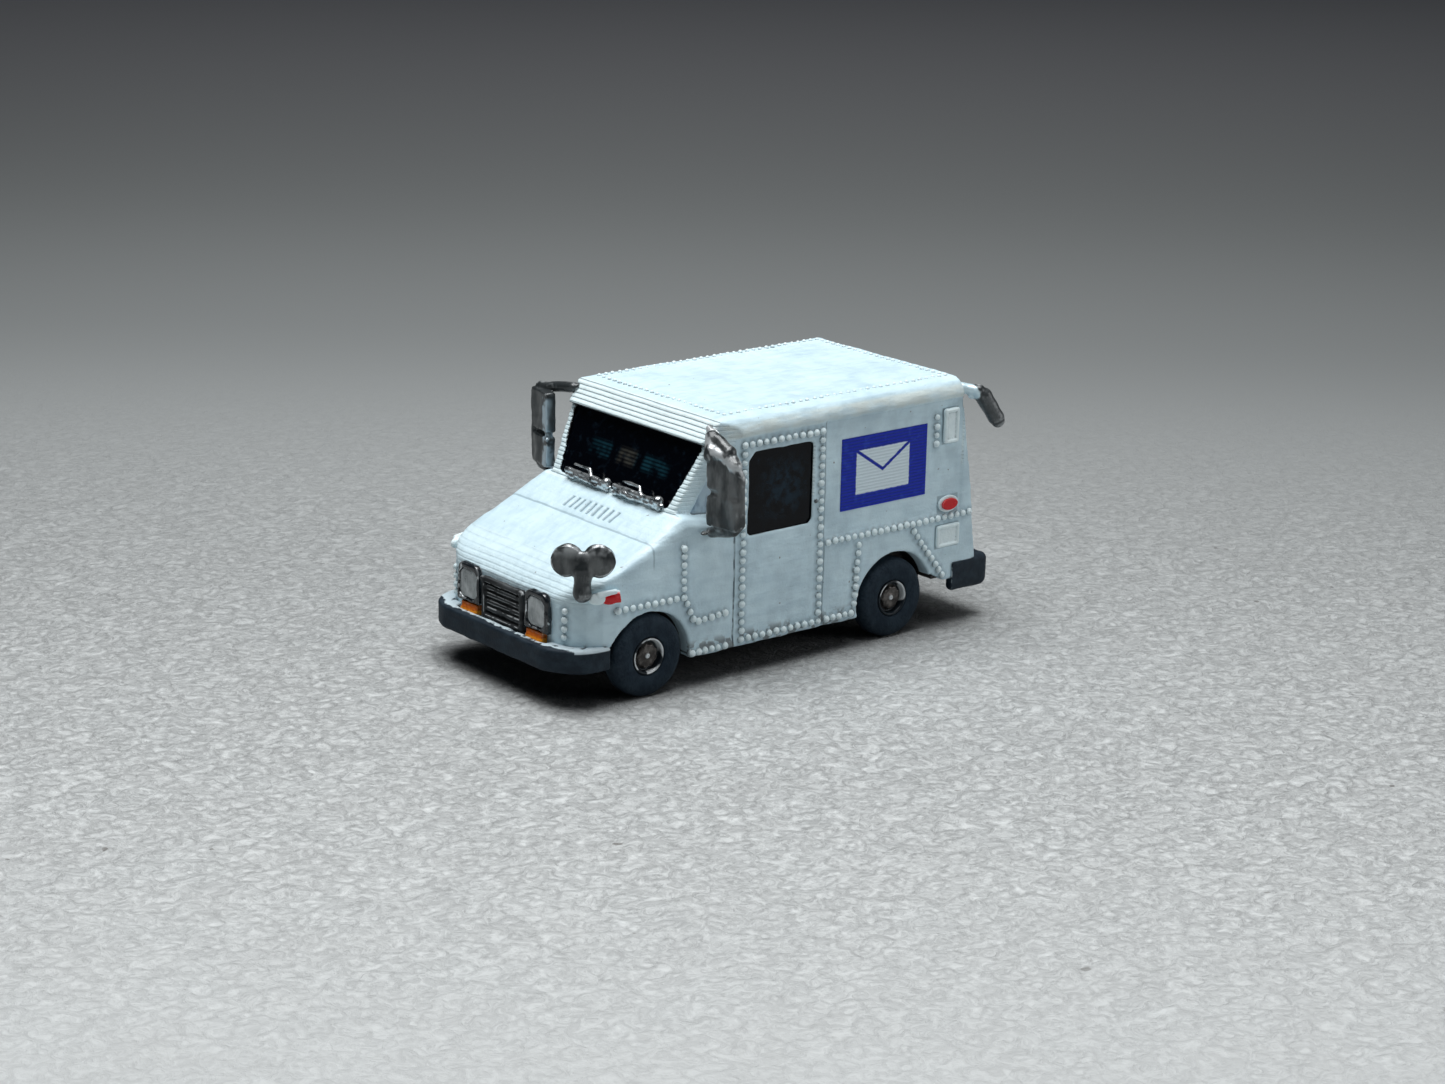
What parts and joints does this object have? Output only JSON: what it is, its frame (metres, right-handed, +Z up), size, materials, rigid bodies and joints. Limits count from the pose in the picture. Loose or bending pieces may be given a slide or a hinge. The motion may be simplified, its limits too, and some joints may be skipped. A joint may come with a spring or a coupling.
{
  "type": "miniature mail delivery truck",
  "caption": "Miniature boxy mail delivery van with hollow shell, separate glazing, bumpers, lamps and mirrors, and wheels that turn on two axles.",
  "frame": {"origin": "on the ground, midway between the bumper faces and on the centre line", "axes": "+X to the front of the truck, +Y to its left, +Z up"},
  "size_m": [0.0278, 0.017, 0.0133],
  "materials": {
    "bumper": "dark slate satin paint",
    "chassis_print": "dark grey-brown print",
    "chrome_paint": "hand-painted silver and black",
    "decal_blue": "printed film",
    "glazing": "clear sheet in front of a black cab",
    "grille": "dark grey with dry-brushed edges",
    "lens_clear": "satin grey lens paint",
    "lens_orange": "gloss orange",
    "lens_red": "gloss red",
    "mirror_paint": "gunmetal paint with bare silver spots",
    "rim": "brownish silver paint",
    "steel_wire": "plain wire",
    "tyre": "dark slate matte paint",
    "white_paint": "brushed cool white paint over printed layers",
    "wiper_paint": "silver paint"
  },
  "bodies": {
    "truck": {"body_shell": "white_paint", "cab_mirror_left": "mirror_paint", "cab_mirror_right": "mirror_paint", "cargo_hatch": "white_paint", "chassis": "chassis_print", "door_lock_left": "chrome_paint", "door_lock_right": "chrome_paint", "door_window_left": "glazing", "door_window_right": "glazing", "fender_mirror": "mirror_paint", "front_bumper": "bumper", "front_marker_housing_left": "white_paint", "front_marker_housing_right": "white_paint", "front_marker_lens_left": "lens_red", "front_marker_lens_right": "lens_red", "fuel_door": "white_paint", "grille": "grille", "headlight_bezel_left": "chrome_paint", "headlight_bezel_right": "chrome_paint", "headlight_lens_left": "lens_clear", "headlight_lens_right": "lens_clear", "nose_rivets": "white_paint", "quarter_window_left": "glazing", "quarter_window_right": "glazing", "rear_bumper": "bumper", "rear_corner_mirror": "mirror_paint", "rear_door": "white_paint", "rear_door_handle": "chrome_paint", "rear_marker_housing_left": "white_paint", "rear_marker_housing_right": "white_paint", "rear_marker_lens_left": "lens_red", "rear_marker_lens_right": "lens_red", "roof_rivets": "white_paint", "side_decal_left": "decal_blue", "side_decal_right": "decal_blue", "side_rivets_left": "white_paint", "side_rivets_right": "white_paint", "tail_lamp_left": "lens_red", "tail_lamp_right": "lens_red", "turn_signal_left": "lens_orange", "turn_signal_right": "lens_orange", "windshield": "glazing", "wiper_left": "wiper_paint", "wiper_right": "wiper_paint"},
    "front_wheels": {"front_axle": "steel_wire", "front_rim_left": "rim", "front_rim_right": "rim", "front_tyre_left": "tyre", "front_tyre_right": "tyre"},
    "rear_wheels": {"rear_axle": "steel_wire", "rear_rim_left": "rim", "rear_rim_right": "rim", "rear_tyre_left": "tyre", "rear_tyre_right": "tyre"}
  },
  "joints": [
    {"name": "front_axle_spin", "type": "hinge", "parent": "truck", "child": "front_wheels", "pos_m": [0.00877, 0, 0.00209], "axis": [0, 1, 0], "continuous": true},
    {"name": "rear_axle_spin", "type": "hinge", "parent": "truck", "child": "rear_wheels", "pos_m": [-0.00719, 0, 0.00209], "axis": [0, 1, 0], "continuous": true}
  ]
}
